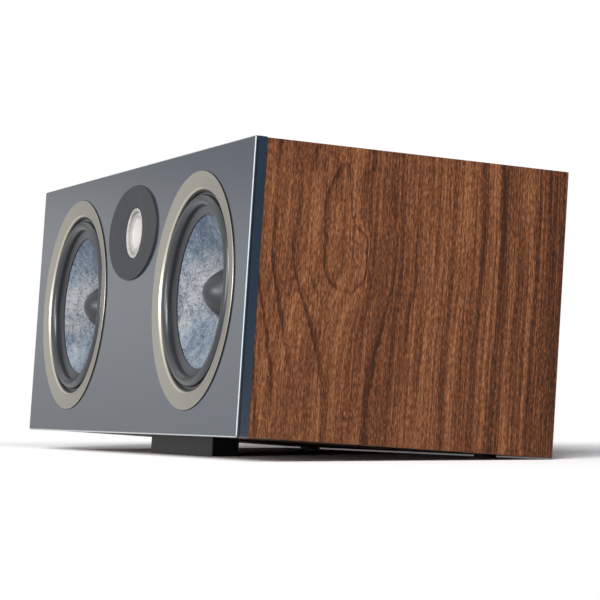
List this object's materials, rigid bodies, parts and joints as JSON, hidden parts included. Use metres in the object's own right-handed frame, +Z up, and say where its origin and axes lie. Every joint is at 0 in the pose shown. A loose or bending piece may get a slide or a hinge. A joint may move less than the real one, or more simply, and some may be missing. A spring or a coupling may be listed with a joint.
{
  "type": "center channel speaker",
  "caption": "Low wide two-way loudspeaker cabinet with ringed cone woofers beside an oval tweeter plate, leaning back on a single front foot; binding posts and port at the rear.",
  "frame": {"origin": "on the ground, under the middle of the speaker's bounding box", "axes": "+Z up, the baffle faces -Y and leans back, +X to the right as seen from the front"},
  "size_m": [0.552, 0.284, 0.2398],
  "materials": {
    "navy_lacquer": "satin",
    "walnut_veneer": "satin",
    "black_board": "matte",
    "raw_board": "matte",
    "wadding_fibre": "matte",
    "foot_plastic": "satin",
    "pad_rubber": "matte",
    "champagne_satin": "satin",
    "basket_black": "satin",
    "surround_rubber": "satin",
    "slate_fibre": "satin",
    "cap_grey": "satin",
    "spider_cloth": "matte",
    "coil_copper": "satin",
    "zinc_steel": "satin",
    "ferrite": "matte",
    "screw_black": "satin",
    "faceplate_grey": "satin",
    "bezel_bright": "polished",
    "tweeter_foam": "matte",
    "dome_metal": "satin",
    "terminal_plastic": "satin",
    "post_metal": "polished",
    "red_grip": "gloss",
    "black_grip": "gloss",
    "circuit_board": "satin",
    "spacer_nylon": "satin",
    "filter_copper": "satin",
    "capacitor_film": "gloss",
    "resistor_cement": "matte",
    "lead_sleeve": "satin"
  },
  "bodies": {
    "cabinet": {"back_panel": "black_board", "black_post": "post_metal", "board_screws": "screw_black", "board_spacers": "spacer_nylon", "bottom_panel": "walnut_veneer", "braces": "raw_board", "capacitors": "capacitor_film", "crossover_board": "circuit_board", "driver_leads": "lead_sleeve", "foot_screws": "screw_black", "front_baffle": "navy_lacquer", "front_foot": "foot_plastic", "input_leads": "lead_sleeve", "left_back_plate": "zinc_steel", "left_basket": "basket_black", "left_magnet": "ferrite", "left_side_panel": "walnut_veneer", "left_spider": "spider_cloth", "left_surround": "surround_rubber", "left_top_plate": "zinc_steel", "left_trim_ring": "champagne_satin", "port_tube": "terminal_plastic", "post_nuts": "post_metal", "rear_pads": "pad_rubber", "red_post": "post_metal", "resistors": "resistor_cement", "right_back_plate": "zinc_steel", "right_basket": "basket_black", "right_magnet": "ferrite", "right_side_panel": "walnut_veneer", "right_spider": "spider_cloth", "right_surround": "surround_rubber", "right_top_plate": "zinc_steel", "right_trim_ring": "champagne_satin", "terminal_plate": "terminal_plastic", "terminal_screws": "screw_black", "top_panel": "walnut_veneer", "tweeter_back_plate": "zinc_steel", "tweeter_bezel": "bezel_bright", "tweeter_faceplate": "faceplate_grey", "tweeter_filter_coil": "filter_copper", "tweeter_magnet": "ferrite", "tweeter_screws": "screw_black", "tweeter_surround": "tweeter_foam", "tweeter_top_plate": "zinc_steel", "wadding": "wadding_fibre", "woofer_filter_coil": "filter_copper", "woofer_screws": "screw_black"},
    "left_diaphragm": {"left_cone": "slate_fibre", "left_dust_cap": "cap_grey", "left_voice_coil": "coil_copper"},
    "right_diaphragm": {"right_cone": "slate_fibre", "right_dust_cap": "cap_grey", "right_voice_coil": "coil_copper"},
    "tweeter_diaphragm": {"tweeter_dome": "dome_metal", "tweeter_voice_coil": "coil_copper"},
    "red_clamp": {"red_washer": "post_metal"},
    "red_grip": {"red_knob": "red_grip"},
    "black_clamp": {"black_washer": "post_metal"},
    "black_grip": {"black_knob": "black_grip"}
  },
  "joints": [
    {"name": "left_cone_travel", "type": "slide", "parent": "cabinet", "child": "left_diaphragm", "axis": [0, -0.9976, 0.0696], "range_m": [-0.006, 0.006], "stiffness_N_per_m": 1500, "deforming": ["left_surround", "left_spider"]},
    {"name": "right_cone_travel", "type": "slide", "parent": "cabinet", "child": "right_diaphragm", "axis": [0, -0.9976, 0.0696], "range_m": [-0.006, 0.006], "stiffness_N_per_m": 1500, "deforming": ["right_surround", "right_spider"]},
    {"name": "tweeter_dome_travel", "type": "slide", "parent": "cabinet", "child": "tweeter_diaphragm", "axis": [0, -0.9976, 0.0696], "range_m": [-0.0004, 0.0004], "stiffness_N_per_m": 75, "deforming": ["tweeter_surround"]},
    {"name": "red_clamp_travel", "type": "slide", "parent": "cabinet", "child": "red_clamp", "axis": [0, 0.9976, -0.0696], "range_m": [0, 0.004]},
    {"name": "red_knob_turn", "type": "hinge", "parent": "red_clamp", "child": "red_grip", "pos_m": [0.012, 0.13359, 0.05933], "axis": [0, 0.9976, -0.0696], "range_deg": [0, 1445]},
    {"name": "black_clamp_travel", "type": "slide", "parent": "cabinet", "child": "black_clamp", "axis": [0, 0.9976, -0.0696], "range_m": [0, 0.004]},
    {"name": "black_knob_turn", "type": "hinge", "parent": "black_clamp", "child": "black_grip", "pos_m": [-0.012, 0.13359, 0.05933], "axis": [0, 0.9976, -0.0696], "range_deg": [0, 1445]}
  ],
  "couplings": [
    {"joint": "red_knob_turn", "follows": "red_clamp_travel", "rad_per_m": 6283.2},
    {"joint": "black_knob_turn", "follows": "black_clamp_travel", "rad_per_m": 6283.2}
  ]
}
